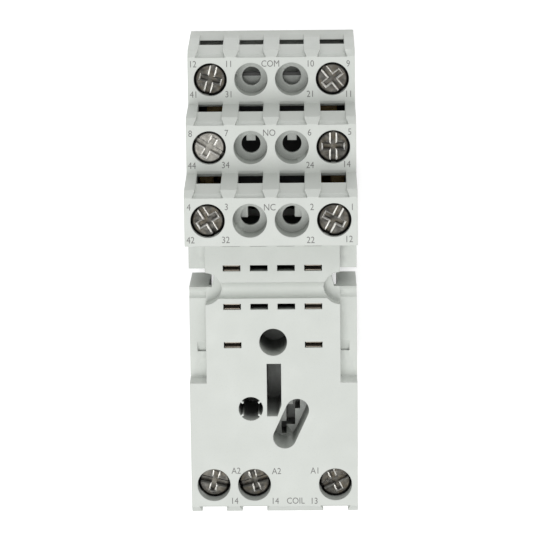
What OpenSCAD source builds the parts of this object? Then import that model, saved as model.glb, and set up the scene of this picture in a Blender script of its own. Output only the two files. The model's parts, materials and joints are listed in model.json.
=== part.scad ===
// Relay socket for a 35 mm rail: a stepped moulding with screw terminals, blade
// contacts for a plug-in relay, a base cover with the rail channel and a sprung
// rail latch.  X runs across the socket, Y along it from the coil end to the
// contact end, Z out of the panel.  The origin is the middle of the rail
// channel, on the plane of the socket's underside.

/* [Body] */
// Width of the socket across X
body_w = 27.4; // [27.2:0.1:30]
// Thickness of the side walls
side_wall = 1.1; // [0.9:0.05:1.3]
// Thickness of the two end walls
end_wall = 1.3; // [1:0.1:1.5]
// Height of the relay seat and the coil block above the underside
seat_z = 25; // [24.6:0.1:27]
// Height of the lowest contact tier, the common contacts
com_face_z = 14.2; // [14:0.1:15]
// Height of the middle contact tier, the normally open contacts
no_face_z = 23.4; // [23:0.1:24.2]
// Height of the highest contact tier, the normally closed contacts
nc_face_z = 33.4; // [33:0.1:35]
// Height of the joint between the base cover and the housing
split_z = 5.2; // [5:0.05:5.4]
// Bevel along the top edge of each terminal wall
edge_chamfer = 1.1; // [0.8:0.05:1.2]
// Lean of the contact end's walls from upright, in degrees
wall_lean = 7; // [5:0.5:8]
// Distance from a row of screws to the outer edge of its wall's bevel
row_to_wall = 4.8; // [4.7:0.05:5]
// Distance from the highest tier's screws to the wall behind them
row_to_back = 4.1; // [4:0.05:4.3]

/* [Terminal rows] */
// Place of the common contacts' screws along Y
com_row_y = 32.1; // [31.9:0.1:32.9]
// Place of the normally open contacts' screws along Y
no_row_y = 22.3; // [22.1:0.1:22.5]
// Place of the normally closed contacts' screws along Y
nc_row_y = 12.25; // [12.15:0.05:12.45]
// Place of the coil screws along Y
coil_row_y = -33.7; // [-34.5:0.1:-33.6]

/* [Screws] */
// Diameter of the hole that a screw head turns in
head_hole_d = 5.45; // [5.4:0.05:5.6]
// Depth of that hole, down to the shoulder
head_hole_depth = 4.4; // [4.2:0.1:4.5]
// Thickness of the shoulder under the head
shoulder_t = 0.8; // [0.7:0.05:1]
// Radial gap between a screw head and its hole
head_gap = 0.125; // [0.08:0.005:0.15]
// Diameter of the screw's thread
screw_d = 3; // [2.9:0.05:3.1]
// Radial gap round the thread, in the shoulder and in the clamp
screw_gap = 0.05; // [0.03:0.01:0.08]
// Rise of the clamp for one turn of the screw
screw_pitch = 0.5; // [0.45:0.05:0.5]
// Height of the screw head
head_h = 2.05; // [1.9:0.05:2.1]
// Depth of a contact screw's head below its tier
contact_head_drop = 0.7; // [0.5:0.05:0.9]
// Width of the straight slot in the head
slot_w = 0.8; // [0.7:0.05:1]
// Depth of the slots in the head
slot_depth = 1.1; // [0.9:0.05:1.3]
// Length of the shorter cross slot
cross_l = 3.3; // [3:0.1:3.8]

/* [Clamps and conductors] */
// Width of a wire clamp across X
clamp_w = 4.8; // [4.7:0.05:4.9]
// Gap each side of a clamp in its pocket
clamp_gap = 0.2; // [0.15:0.01:0.25]
// Reach of the clamp in front of its screw, towards the wire entry
clamp_front = 2.9; // [2.7:0.05:3]
// Reach of the clamp behind its screw
clamp_back = 2.2; // [2.1:0.05:2.3]
// Thickness of the clamp's threaded plate
clamp_plate_t = 1.6; // [1.4:0.1:1.7]
// Thickness of the clamp's two guide wings
clamp_wing_t = 0.45; // [0.4:0.05:0.5]
// Room for the wire between the open clamp and the conductor
wire_room = 3.4; // [3.2:0.1:3.5]
// Travel of the clamp from open to closed
clamp_travel = 3; // [2.8:0.1:3]
// Thickness of the conductor strips
strip_t = 0.8; // [0.7:0.05:0.9]
// Width of a conductor under its screw
tab_w = 3.6; // [3.5:0.05:3.65]

/* [Wire entries] */
// Width of a wire entry
entry_w = 4.03; // [3.9:0.01:4.1]
// Depth of the entry's top edge below its tier
entry_top_drop = 4.5; // [4.4:0.05:4.6]
// Depth of the entry's bottom edge below its tier, at the two ends
entry_bottom_drop = 9.7; // [9.5:0.1:9.8]
// Widening of the entry's throat at its tier's edge, each side
entry_flare = 0.45; // [0.3:0.05:0.6]
// Distance that the end entries' sills slope down
sill_drop = 1.7; // [1.5:0.1:1.8]
// Depth that an entry's scoop cuts into the tier in front of it
scoop_depth = 0.6; // [0.4:0.05:0.8]
// Distance from a wall's bevelled edge out to the well behind its entry
entry_well_in = 0.5; // [0.4:0.05:0.6]

/* [Relay seat] */
// Distance from the outer blade slots to the edge of the raised seat
seat_margin = 2.92; // [2.8:0.02:2.96]
// Depth of the side strips below the seat
strip_drop = 3; // [2.8:0.1:3.1]
// Y place where the side strips end at the coil block
strip_end_y = -16.4; // [-17.2:0.1:-16.2]
// Distance between neighbouring blade slots
pin_pitch = 4.4; // [4.35:0.01:4.45]
// Length of a blade slot, across X
pin_slot_l = 2.86; // [2.8:0.02:2.9]
// Width of a blade slot, along Y
pin_slot_w = 0.98; // [0.9:0.02:1.1]
// Place of the common contacts' blade slots along Y
com_pin_y = -3.6; // [-3.7:0.05:-3.5]
// Distance from the common to the normally open slots
no_pin_step = 6.4; // [6.35:0.01:6.45]
// Distance from the normally open to the normally closed slots
nc_pin_step = 4.1; // [4.05:0.01:4.15]
// Distance from the common to the coil slots
coil_pin_step = 6.4; // [6.3:0.01:6.5]
// Y place of the finger groove across the seat
groove_y = -0.9; // [-1:0.05:-0.8]
// Radius of the finger groove
groove_r = 1.32; // [1.2:0.02:1.4]
// Radius of the round finger cut at each side of the seat
finger_r = 2.65; // [2.5:0.05:2.7]
// Width of the groove's ends, in the side strips
groove_end_w = 1.84; // [1.7:0.02:1.9]
// Depth of the groove's ends
groove_end_depth = 0.5; // [0.4:0.05:0.6]
// Thickness of the seat's plate
seat_plate_t = 2.4; // [2.3:0.1:2.6]

/* [Clip notches] */
// Width of a clip notch along Y
notch_l = 3.08; // [3:0.02:3.2]
// Distance that a clip notch reaches in under the edge of the raised seat
notch_in = 1.4; // [1.25:0.05:1.45]
// Height of the post that the retaining clip bears on
post_h = 11.3; // [10.8:0.1:11.5]
// Thickness of that post along Y
post_t = 5.4; // [5:0.1:5.6]

/* [Module pockets] */
// Diameter of the round hole in the seat
seat_hole_d = 4.54; // [4.4:0.02:4.6]
// Y place of the round hole
seat_hole_y = -9.55; // [-9.6:0.05:-9.4]
// Depth of the round hole
seat_hole_depth = 11; // [9:0.5:11]
// Y place of the module slot's end nearest the relay
module_slot_y = -13.17; // [-13.4:0.01:-13]
// Width of the module slot
module_slot_w = 2.36; // [2.2:0.02:2.5]
// Length of the module slot
module_slot_l = 8.86; // [8.6:0.02:9]
// X place of the keyed hole
key_hole_x = -3.77; // [-3.9:0.01:-3.7]
// Y place of the keyed hole
key_hole_y = -20.74; // [-20.9:0.01:-20.6]
// Diameter of the keyed hole
key_hole_d = 4; // [3.8:0.05:4.1]
// X place of the slanted pocket's end nearest the relay
pocket_x1 = 3.84; // [3.7:0.01:3.95]
// Y place of that end
pocket_y1 = -21.02; // [-21.2:0.01:-20.8]
// X place of the slanted pocket's other end
pocket_x2 = 1.73; // [1.6:0.01:1.9]
// Y place of the other end
pocket_y2 = -25.6; // [-25.7:0.01:-25.4]
// Width of the slanted pocket
pocket_w = 3.82; // [3.7:0.02:3.9]
// Depth of the module slot, the keyed hole and the slanted pocket
pocket_depth = 12; // [10:0.5:12.5]
// Depth of the slanted pocket, down to its slits
slanted_depth = 8; // [7:0.5:9]

/* [Rail channel] */
// Width of the mounting rail
rail_w = 35; // [35:0.1:35.4]
// Gap each side of the rail in its channel
rail_gap = 0.2; // [0.1:0.05:0.3]
// Height of the rail seat above the underside
rail_seat_z = 3.4; // [3.2:0.05:3.6]
// Height of the lips that hold the rail's edges
lip_h = 2.1; // [2:0.05:2.2]
// Reach of the lips under the rail's edges
lip_reach = 1.4; // [1.2:0.05:1.6]

/* [Rail latch] */
// Width of the latch
latch_w = 10; // [9.6:0.1:10.4]
// Thickness of the latch
latch_t = 2.75; // [2.7:0.05:2.8]
// Gap round the latch in its guide
latch_gap = 0.15; // [0.1:0.01:0.2]
// Width that the latch's guide keeps under each edge of the latch
latch_ledge = 1; // [0.8:0.05:1.2]
// Travel of the latch
latch_travel = 3; // [2.5:0.1:3.2]
// Outside diameter of the latch spring
spring_d = 2.3; // [2.2:0.05:2.4]
// Thickness of the spring's wire
spring_wire = 0.35; // [0.3:0.05:0.4]
// Number of turns in the spring
spring_turns = 7; // [6:1:8]

/* [Blade contacts] */
// Height of the lower end of the wells that hold the contacts
well_z = 12; // [11.8:0.1:12.4]
// Width of a blade contact
fork_w = 2.4; // [2.3:0.05:2.5]
// Thickness of its two leaves
fork_leaf_t = 0.35; // [0.3:0.05:0.4]
// Length of its foot along Y
fork_foot_l = 1.9; // [1.7:0.1:2]
// Gap where the leaves pinch the relay's blade
fork_gap = 0.4; // [0.3:0.05:0.45]
// Gap at the contact's mouth
fork_mouth = 1.1; // [1:0.05:1.2]

/* [Hidden] */

$fn = 48;
EPS = 0.01;                     // overshoot of a cut past the face it opens
TOUCH = 0.03;                   // gap between faces that slide on each other
HOUSING_GREY = [0.84, 0.85, 0.83];
COVER_GREY = [0.78, 0.79, 0.77];
STEEL = [0.55, 0.53, 0.5];
BRASS = [0.78, 0.62, 0.36];
BRONZE = [0.66, 0.42, 0.28];

LEFT = -1;
RIGHT = 1;
inner_w = body_w - 2*side_wall;
clamp_room_w = clamp_w + 2*clamp_gap;
column_pitch = (inner_w - clamp_room_w)/3;
outer_x = 1.5*column_pitch;
inner_x = 0.5*column_pitch;
lean = tan(wall_lean);

com_wall_y = com_row_y + row_to_wall;
no_wall_y = no_row_y + row_to_wall;
nc_wall_y = nc_row_y + row_to_wall;
nc_back_y = nc_row_y - row_to_back;
coil_end_y = coil_row_y - row_to_wall;

// Y of a leaning wall at height z, below a tier at height face_z
function wall_at(wall_y, face_z, z) = wall_y + lean*(face_z - edge_chamfer - z);

// The same for an entry's wall: the coil end's wall, with dir -1, is upright
function entry_wall(wall_y, face_z, z, dir) = dir > 0 ? wall_at(wall_y, face_z, z) : wall_y;

head_d = head_hole_d - 2*head_gap;
shank_hole_d = screw_d + 2*screw_gap;
tab_drop = head_hole_depth + shoulder_t;        // tier to the top of its conductor
clamp_drop = tab_drop + strip_t + wire_room;    // tier to the top of an open clamp's plate
clamp_room_front = clamp_front + 0.5;
entry_reach = 3;                                // how far the entries' cuts reach out of their walls
cover_room_z = com_face_z - clamp_drop - clamp_plate_t - 0.5;
tab_front = clamp_front;
tab_back = clamp_back + 1;
gallery_z = com_face_z - tab_drop;

no_pin_y = com_pin_y + no_pin_step;
nc_pin_y = no_pin_y + nc_pin_step;
coil_pin_y = com_pin_y - coil_pin_step;
outer_pin_x = 1.5*pin_pitch;
plug_w = 2*outer_pin_x + pin_slot_l + 2*seat_margin;
strip_z = seat_z - strip_drop;
seat_under_z = seat_z - seat_plate_t;
cavity_end_y = strip_end_y - 13.6;
cavity_front_y = nc_back_y + 0.8;
cavity_side_z = strip_z - 1.8;
well_wall = 0.8;
well_x = fork_w + 0.5;
well_y = fork_foot_l + 0.6;
foot_z = well_z - 0.8;                          // top of the feet under the seat's wells

seat_edge_x = plug_w/2;
notch_tip_x = seat_edge_x - notch_in;
notch_front_y = groove_y + notch_l;
post_x = notch_tip_x + 0.9;
groove_end_r = (pow(groove_end_w/2, 2) + pow(groove_end_depth, 2))/(2*groove_end_depth);
groove_end_z = strip_z + groove_end_r - groove_end_depth;
finger_y = groove_y + 0.3;
clip_room_x = notch_tip_x - 0.05;
clip_room_front_y = notch_front_y;
clip_room_back_y = groove_y - post_t;
clip_room_top_z = strip_z - 1.6;
clip_wall = 0.8;

run_outer_x = inner_w/2 - 0.4;
run_inner_x = run_outer_x - 2.6;
foot_reach = clip_room_x - clip_wall - 0.1;
foot_back = fork_w/2;
com_foot_z = gallery_z;

pocket_top = [pocket_x1, pocket_y1];
pocket_low = [pocket_x2, pocket_y2];

latch_z = latch_gap;
latch_end_y = coil_end_y + 0.5;
channel_half = rail_w/2 + rail_gap;
latch_neck_w = latch_w - 2*latch_ledge;
window_w = spring_d + 0.9;
window_back_y = -30;
window_front_y = -22.2;
post_back_y = window_back_y + 0.2;
post_front_y = post_back_y + 1.2;
spring_z = latch_z + latch_t/2;

// 2D shapes in (Y, Z) made into a bar along X, centred on x0
module along_x(width, x0 = 0) {
    rotate([90, 0, 90])
        translate([0, 0, x0])
            linear_extrude(height = width, center = true)
                children();
}

// A box given by its lowest and highest corner
module span(low, high) {
    translate(low)
        cube(high - low);
}

// ---------------------------------------------------------------- housing

module housing_outline() {
    c = edge_chamfer;
    polygon([
        [coil_end_y, split_z],
        [coil_end_y, seat_z - c],
        [coil_end_y + c, seat_z],
        [nc_back_y, seat_z],
        [nc_back_y, nc_face_z],
        [nc_wall_y - c, nc_face_z],
        [nc_wall_y, nc_face_z - c],
        [wall_at(nc_wall_y, nc_face_z, no_face_z), no_face_z],
        [no_wall_y - c, no_face_z],
        [no_wall_y, no_face_z - c],
        [wall_at(no_wall_y, no_face_z, com_face_z), com_face_z],
        [com_wall_y - c, com_face_z],
        [com_wall_y, com_face_z - c],
        [wall_at(com_wall_y, com_face_z, split_z), split_z]]);
}

// Hole for a screw head, its shoulder and the thread's hole below it
module screw_hole(x, y, face_z) {
    translate([x, y, face_z - head_hole_depth])
        cylinder(d = head_hole_d, h = head_hole_depth + EPS);
    translate([x, y, face_z - tab_drop - EPS])
        cylinder(d = shank_hole_d, h = shoulder_t + 2*EPS);
}

// Throat above a wire entry: a steep slope from the tier's edge down to the
// opening, flared through the bevel.  dir is 1 for walls that face +Y.
module entry_throat(x, wall_y, face_z, dir) {
    c = edge_chamfer;
    top_z = face_z - entry_top_drop;
    low_y = entry_wall(wall_y, face_z, top_z, dir);
    along_x(entry_w, x)
        polygon([
            [wall_y - dir*c, face_z],
            [low_y, top_z],
            [wall_y + dir*entry_reach, top_z],
            [wall_y + dir*entry_reach, face_z]]);
    translate([x, wall_y - dir*c, face_z])
        rotate([dir*-45, 0, 0])
            translate([0, 0, -c/2])
                linear_extrude(height = 2*c)
                    polygon([
                        [-entry_w/2 - entry_flare, -EPS*dir],
                        [entry_w/2 + entry_flare, -EPS*dir],
                        [entry_w/2, dir*c*sqrt(2)],
                        [-entry_w/2, dir*c*sqrt(2)]]);
}

// Opening through the wall into the terminal's room, and the well inside it
module entry_opening(x, row_y, wall_y, face_z, floor_z, well_floor_z, dir) {
    top_z = face_z - entry_top_drop + EPS;
    inner_y = row_y + dir*(clamp_room_front - EPS);
    well_y = wall_y + dir*entry_well_in;
    outer_y = wall_y + dir*entry_reach;
    span([x - entry_w/2, min(well_y, outer_y), floor_z], [x + entry_w/2, max(well_y, outer_y), top_z]);
    span([x - entry_w/2, min(inner_y, well_y), well_floor_z], [x + entry_w/2, max(inner_y, well_y), top_z]);
}

// Sill that slopes down and out below an entry at either end of the socket
module entry_sill(x, wall_y, face_z, dir) {
    top_z = face_z - entry_bottom_drop;
    low_z = top_z - sill_drop;
    low_y = entry_wall(wall_y, face_z, low_z, dir);
    along_x(entry_w, x)
        polygon([
            [wall_y + dir*entry_well_in, top_z + EPS],
            [low_y, low_z],
            [wall_y + dir*entry_reach, low_z],
            [wall_y + dir*entry_reach, top_z + EPS]]);
}

// Scoop that an entry cuts into the tier in front of its wall
module entry_scoop(x, wall_y, face_z, lower_z) {
    y0 = wall_at(wall_y, face_z, lower_z);
    along_x(entry_w, x)
        polygon([
            [wall_y + entry_well_in - EPS, lower_z - scoop_depth],
            [y0 - 0.1, lower_z - scoop_depth/4],
            [y0 + 0.4, lower_z + EPS],
            [wall_y + entry_well_in - EPS, lower_z + EPS]]);
}

// A wire entry at one end of the socket: throat, opening and sill
module end_entry(x, row_y, wall_y, face_z, dir) {
    bottom_z = face_z - entry_bottom_drop;
    well_floor_z = dir > 0 ? cover_room_z : bottom_z;
    entry_throat(x, wall_y, face_z, dir);
    entry_opening(x, row_y, wall_y, face_z, bottom_z, well_floor_z, dir);
    entry_sill(x, wall_y, face_z, dir);
}

// A wire entry of the upper two tiers, which opens over the tier in front
module tier_entry(x, row_y, wall_y, face_z, lower_z) {
    entry_throat(x, wall_y, face_z, 1);
    entry_opening(x, row_y, wall_y, face_z, lower_z, gallery_z - EPS, 1);
    entry_scoop(x, wall_y, face_z, lower_z);
}

// The pocket under each screw of the upper two tiers
module tier_pocket(x, back_y, front_y, face_z) {
    span([x - clamp_room_w/2, back_y, split_z - EPS], [x + clamp_room_w/2, front_y, face_z - tab_drop]);
}

// Ribs that fill part of the empty columns' rooms, under their screw holes
module spare_column_ribs(side) {
    x = side*inner_x;
    half_w = clamp_room_w/2;
    rib_h = 2;
    shelf_t = 0.8;
    shelf_z = gallery_z - rib_h;
    back_y = com_row_y - tab_back;
    span([x - half_w, back_y, shelf_z], [x + half_w, com_row_y + 0.35, shelf_z + shelf_t]);
    span([x - half_w, back_y, shelf_z], [x + half_w, back_y + shelf_t, gallery_z + EPS]);
    translate([x, no_row_y, no_face_z - tab_drop - rib_h])
        span([-0.75, 0.35, 0], [0.75, half_w, rib_h + EPS]);
    translate([x, nc_row_y, nc_face_z - tab_drop - rib_h])
        mirror([side > 0 ? 0 : 1, 0, 0])
            span([0.4, -0.4, 0], [half_w, 1.5, rib_h + EPS]);
}

// Thin-walled well that holds one blade contact, hung from the seat's plate
module well_outside(x, y) {
    w = well_x + 2*well_wall;
    l = well_y + 2*well_wall;
    span([x - w/2, y - l/2, well_z], [x + w/2, y + l/2, seat_under_z + EPS]);
}

module well_inside(x, y) {
    span([x - well_x/2, y - well_y/2, well_z - EPS], [x + well_x/2, y + well_y/2, seat_under_z]);
    span([x - pin_slot_l/2, y - pin_slot_w/2, seat_under_z - EPS],
        [x + pin_slot_l/2, y + pin_slot_w/2, seat_z + EPS]);
}

// Calls its child shape once for each blade slot
module each_pin() {
    for (y = [com_pin_y, no_pin_y, nc_pin_y])
        for (k = [-1.5, -0.5, 0.5, 1.5])
            translate([k*pin_pitch, y, 0])
                children();
    for (k = [-1.5, 1.5])
        translate([k*pin_pitch, coil_pin_y, 0])
            children();
}

// Outline of the slanted module pocket, widened by wall
module pocket_shape(wall) {
    r = pocket_w/2 + wall;
    run = pocket_top - pocket_low;
    slant = atan2(run[1], run[0]);
    for (end = [pocket_top, pocket_low])
        translate(end)
            circle(r = r);
    translate(pocket_low)
        rotate(slant)
            translate([0, -r])
                square([norm(run), 2*r]);
}

// Outline of the module slot with its bevelled corner, widened by wall
module module_slot_shape(wall) {
    x0 = -module_slot_w/2 - wall + 0.06;
    x1 = module_slot_w/2 + wall + 0.06;
    y0 = module_slot_y - module_slot_l - wall;
    y1 = module_slot_y + wall;
    polygon([
        [x0, y1],
        [x0, y0],
        [x1 - 0.65, y0],
        [x1, y0 + 1.85],
        [x1, y1]]);
}

// The keyed hole: a round hole with four short ribs left standing in it
module key_hole_shape() {
    rib_w = 0.3;
    difference() {
        circle(d = key_hole_d);
        for (a = [38, 142, 218, 322])
            rotate(a)
                translate([key_hole_d/2 - 0.45, -rib_w/2])
                    square([0.5, rib_w]);
    }
}

module module_walls() {
    z0 = seat_z - pocket_depth - 1;
    h = seat_under_z + EPS - z0;
    wall = 0.9;
    translate([0, 0, z0])
        linear_extrude(height = h)
            pocket_shape(wall);
    translate([0, 0, z0])
        linear_extrude(height = h)
            module_slot_shape(wall);
    translate([key_hole_x, key_hole_y, z0])
        cylinder(d = key_hole_d + 2*wall, h = h);
    translate([0, seat_hole_y, seat_z - seat_hole_depth - 1])
        cylinder(d = seat_hole_d + 2*wall, h = seat_hole_depth + 1 - seat_plate_t + EPS);
}

// Slits in the slanted pocket's floor for the module's pins, each given by its
// middle, from the pocket's low end, and its size
module pocket_slits() {
    slits = [[[0.95, 1.73], [1.45, 3.45]], [[-0.2, -0.5], [0.85, 2.1]], [[1.92, 3.58], [1.2, 1.65]]];
    intersection() {
        pocket_shape(0);
        for (slit = slits)
            translate(pocket_low + slit[0])
                square(slit[1], center = true);
    }
}

module module_holes() {
    floor_z = seat_z - pocket_depth;
    translate([0, 0, floor_z])
        linear_extrude(height = pocket_depth + EPS)
            module_slot_shape(0);
    translate([0, 0, seat_z - slanted_depth])
        linear_extrude(height = slanted_depth + EPS)
            pocket_shape(0);
    translate([0, 0, floor_z])
        linear_extrude(height = pocket_depth)
            pocket_slits();
    translate([key_hole_x, key_hole_y, floor_z])
        linear_extrude(height = pocket_depth + EPS)
            key_hole_shape();
    translate([0, seat_hole_y, seat_z - seat_hole_depth])
        cylinder(d = seat_hole_d, h = seat_hole_depth + EPS);
}

// Solid corner block round a clip notch, and the floor under the finger cut
module clip_block(side) {
    pad = finger_r + clip_wall;
    mirror([side > 0 ? 0 : 1, 0, 0]) {
        span([clip_room_x - clip_wall, clip_room_back_y - clip_wall, split_z],
            [body_w/2 - side_wall/2, clip_room_front_y + clip_wall, strip_z - EPS]);
        span([seat_edge_x - pad, finger_y - pad, strip_z - clip_wall],
            [seat_edge_x, finger_y + pad, seat_under_z + EPS]);
    }
}

// Outline of the notch that a clip's leg passes through, seen from above
module notch_shape() {
    side_x = body_w/2 + EPS;
    polygon([
        [side_x, groove_y],
        [notch_tip_x + 0.45, groove_y],
        [notch_tip_x, groove_y + notch_l*0.6],
        [notch_tip_x + 0.45, notch_front_y - 0.85],
        [seat_edge_x - 0.15, notch_front_y - 0.45],
        [seat_edge_x - 0.15, notch_front_y - 0.1],
        [seat_edge_x, notch_front_y],
        [side_x, notch_front_y]]);
}

module clip_room(side) {
    mirror([side > 0 ? 0 : 1, 0, 0]) {
        translate([0, 0, clip_room_top_z - EPS])
            linear_extrude(height = seat_z - clip_room_top_z + 2*EPS)
                notch_shape();
        // the room below, round the post
        difference() {
            span([clip_room_x, clip_room_back_y, -EPS], [body_w/2 + EPS, clip_room_front_y, clip_room_top_z]);
            span([post_x, clip_room_back_y - EPS, strip_z - post_h], [body_w/2 + 2*EPS, groove_y, strip_z]);
        }
    }
}

// Groove across the seat, deeper where it crosses the side strips, with a
// round finger cut at each of the seat's edges
module finger_cuts() {
    translate([0, groove_y, seat_z])
        rotate([0, 90, 0])
            cylinder(r = groove_r, h = plug_w + EPS, center = true);
    for (side = [LEFT, RIGHT]) {
        translate([side*(seat_edge_x + body_w/2)/2, groove_y - groove_end_w/2, groove_end_z])
            rotate([0, 90, 0])
                cylinder(r = groove_end_r, h = body_w/2 - seat_edge_x + 2*EPS, center = true);
        translate([side*seat_edge_x, finger_y, strip_z])
            cylinder(r = finger_r, h = strip_drop + EPS);
    }
}

// The strips left low each side of the seat, and a small wedge cut in each
module side_strips() {
    end_draft = 0.35;
    width = body_w/2 - seat_edge_x + EPS;
    wedge_w = 1.4;
    wedge_l = 1.7;
    wedge_h = 0.5;
    wedge_y = coil_pin_y - wedge_l;
    for (side = [LEFT, RIGHT])
        mirror([side > 0 ? 0 : 1, 0, 0]) {
            along_x(width, seat_edge_x + width/2)
                polygon([
                    [strip_end_y + end_draft, strip_z],
                    [nc_back_y, strip_z],
                    [nc_back_y, seat_z + EPS],
                    [strip_end_y, seat_z + EPS]]);
            along_x(wedge_w, seat_edge_x + 0.8)
                polygon([
                    [wedge_y + wedge_l, strip_z + EPS],
                    [wedge_y, strip_z - wedge_h],
                    [wedge_y, strip_z + EPS]]);
        }
}

// The hollow inside of the housing, open towards the base cover
module housing_hollow() {
    low = split_z - EPS;
    span([-inner_w/2, coil_end_y + end_wall, low], [inner_w/2, com_row_y + clamp_room_front, gallery_z]);
    span([-inner_w/2, cavity_end_y, low], [inner_w/2, cavity_front_y, cavity_side_z]);
    span([-seat_edge_x + 1.05, cavity_end_y, low], [seat_edge_x - 1.05, cavity_front_y, seat_under_z]);
    for (k = [-1.5, -0.5, 0.5, 1.5]) {
        tier_pocket(k*column_pitch, nc_wall_y - edge_chamfer - 0.7, no_row_y + clamp_room_front, no_face_z);
        tier_pocket(k*column_pitch, cavity_front_y - EPS, nc_row_y + clamp_room_front, nc_face_z);
    }
    for (k = [-1.5, -0.5, 1.5])
        tier_pocket(k*column_pitch, coil_end_y + end_wall, cavity_end_y + EPS, seat_z);
}

module housing() {
    color(HOUSING_GREY)
    difference() {
        union() {
            difference() {
                along_x(body_w)
                    housing_outline();
                housing_hollow();
            }
            each_pin()
                well_outside(0, 0);
            module_walls();
            clip_block(LEFT);
            clip_block(RIGHT);
            spare_column_ribs(LEFT);
            spare_column_ribs(RIGHT);
        }
        each_pin()
            well_inside(0, 0);
        module_holes();
        side_strips();
        finger_cuts();
        clip_room(LEFT);
        clip_room(RIGHT);
        for (k = [-1.5, -0.5, 0.5, 1.5]) {
            x = k*column_pitch;
            screw_hole(x, com_row_y, com_face_z);
            screw_hole(x, no_row_y, no_face_z);
            screw_hole(x, nc_row_y, nc_face_z);
            end_entry(x, com_row_y, com_wall_y, com_face_z, 1);
            tier_entry(x, no_row_y, no_wall_y, no_face_z, com_face_z);
            tier_entry(x, nc_row_y, nc_wall_y, nc_face_z, no_face_z);
        }
        for (k = [-1.5, -0.5, 1.5]) {
            screw_hole(k*column_pitch, coil_row_y, seat_z);
            end_entry(k*column_pitch, coil_row_y, coil_end_y, seat_z, -1);
        }
    }
}

// -------------------------------------------------------------- base cover

module cover_outline() {
    polygon([
        [coil_end_y, 0],
        [coil_end_y, split_z],
        [wall_at(com_wall_y, com_face_z, split_z), split_z],
        [wall_at(com_wall_y, com_face_z, 0), 0]]);
}

// The channel that the rail lies in, with one fixed lip on the contact side
module rail_channel() {
    slack = rail_gap;
    span([-body_w/2 - EPS, -channel_half, lip_h], [body_w/2 + EPS, channel_half, rail_seat_z]);
    span([-body_w/2 - EPS, -channel_half, -EPS], [body_w/2 + EPS, rail_w/2 - lip_reach + slack, lip_h + EPS]);
}

// The guide that the latch slides in
module latch_guide() {
    wide = latch_w/2 + latch_gap;
    neck = latch_neck_w/2 + latch_gap;
    ledge_z = latch_z + 1.2 - latch_gap;
    span([-wide, coil_end_y - EPS, ledge_z], [wide, -channel_half + EPS, latch_z + latch_t + latch_gap]);
    span([-neck, coil_end_y - EPS, -EPS], [neck, -channel_half + EPS, ledge_z + EPS]);
}

// Room under the lowest screws for their clamps and thread ends
module cover_clamp_rooms() {
    for (k = [-1.5, -0.5, 0.5, 1.5])
        translate([k*column_pitch, com_row_y, 0])
            span([-clamp_room_w/2, -clamp_back - 0.5, cover_room_z],
                [clamp_room_w/2, clamp_room_front, split_z + EPS]);
}

// Shallow pockets in the underside, each side of the rail channel
module underside_pockets() {
    wall = 1.4;
    depth = split_z - wall;
    edge_x = body_w/2 - wall;
    latch_edge = latch_w/2 + latch_gap + wall;
    back_y = -channel_half - wall;
    front_y = channel_half + wall;
    for (side = [LEFT, RIGHT])
        mirror([side > 0 ? 0 : 1, 0, 0]) {
            span([latch_edge, coil_end_y + wall, -EPS], [edge_x, back_y, depth]);
            span([wall/2, front_y, -EPS], [edge_x, com_row_y - clamp_back - 0.5 - wall, depth]);
        }
}

module base_cover() {
    color(COVER_GREY)
    difference() {
        union() {
            difference() {
                along_x(body_w)
                    cover_outline();
                rail_channel();
                latch_guide();
                cover_clamp_rooms();
                underside_pockets();
            }
            // post that the latch spring pushes against
            span([-window_w/2 + 0.2, post_back_y, latch_z + 0.3],
                [window_w/2 - 0.2, post_front_y, latch_z + latch_t + latch_gap + EPS]);
        }
        for (side = [LEFT, RIGHT])
            clip_room(side);
        for (k = [-1.5, -0.5, 0.5, 1.5])
            end_entry(k*column_pitch, com_row_y, com_wall_y, com_face_z, 1);
    }
}

// -------------------------------------------------------------- rail latch

module rail_latch() {
    lip_y = -rail_w/2 + lip_reach - rail_gap;
    body_y = -channel_half - 0.2;
    color(HOUSING_GREY)
    difference() {
        union() {
            span([-latch_w/2, latch_end_y, latch_z + 1.2], [latch_w/2, body_y, latch_z + latch_t]);
            span([-latch_neck_w/2, latch_end_y, latch_z], [latch_neck_w/2, body_y, latch_z + 1.2 + EPS]);
            span([-latch_neck_w/2, body_y - EPS, latch_z], [latch_neck_w/2, lip_y, lip_h - 0.05]);
        }
        span([-window_w/2, window_back_y, -EPS], [window_w/2, window_front_y, latch_z + latch_t + EPS]);
        // slot for the screwdriver that pulls the latch
        span([-2, latch_end_y + 1.6, -EPS], [2, latch_end_y + 2.8, latch_z + latch_t + EPS]);
    }
}

// A coil spring along Y, swept as one tube round its helix
module latch_spring() {
    sides = 6;
    steps = 14;
    count = spring_turns*steps;
    y0 = post_front_y + TOUCH + spring_wire/2;
    y1 = window_front_y - TOUCH - spring_wire/2;
    coil_r = (spring_d - spring_wire)/2;
    points = [for (i = [0:count]) let (a = 360*i/steps, y = y0 + (y1 - y0)*i/count)
        for (j = [0:sides - 1]) let (b = 360*j/sides, r = coil_r + spring_wire/2*cos(b))
            [r*cos(a), y + spring_wire/2*sin(b), spring_z + r*sin(a)]];
    walls = [for (i = [0:count - 1]) for (j = [0:sides - 1]) let (n = (j + 1)%sides)
        [i*sides + j, i*sides + n, (i + 1)*sides + n, (i + 1)*sides + j]];
    caps = [[for (j = [sides - 1:-1:0]) j], [for (j = [0:sides - 1]) count*sides + j]];
    color(STEEL)
        polyhedron(points = points, faces = concat(walls, caps), convexity = 10);
}

// ------------------------------------------------------------------ screws

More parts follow.
